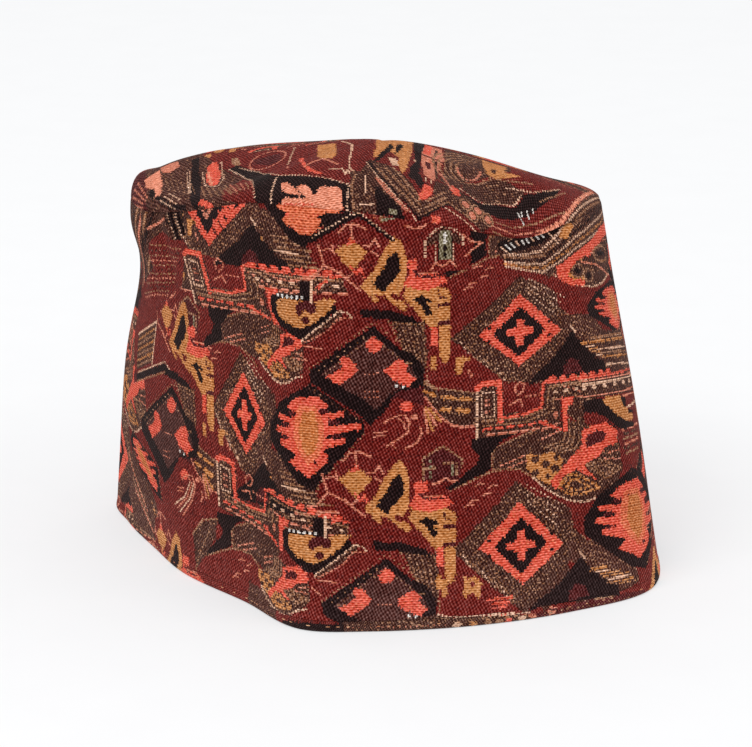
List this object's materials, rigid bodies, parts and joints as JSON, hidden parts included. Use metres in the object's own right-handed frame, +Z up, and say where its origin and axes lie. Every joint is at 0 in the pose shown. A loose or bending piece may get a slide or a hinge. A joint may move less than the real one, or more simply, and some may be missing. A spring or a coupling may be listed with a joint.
{
  "type": "dhaka topi",
  "caption": "Soft brimless woven cap with a tapered side band, a domed crown that peaks towards the front, and a narrow turned hem, worn on the head and standing open on its rim.",
  "frame": {"origin": "middle of the cap's box, on the surface that the rim stands on", "axes": "+Z up from the rim to the crown, -Y towards the tall front, +X to the right of the front"},
  "size_m": [0.1802, 0.1754, 0.1417],
  "materials": {
    "band_cloth": "matt brocade with a woven pattern in maroon, coral, ochre, brown and near black",
    "crown_cloth": "the same matt brocade, cut across another part of the pattern",
    "hem_cloth": "turned edge of the same cloth with a row of stitches"
  },
  "bodies": {
    "root": {"side_band": "band_cloth", "crown": "crown_cloth", "rim_hem": "hem_cloth"}
  },
  "joints": []
}
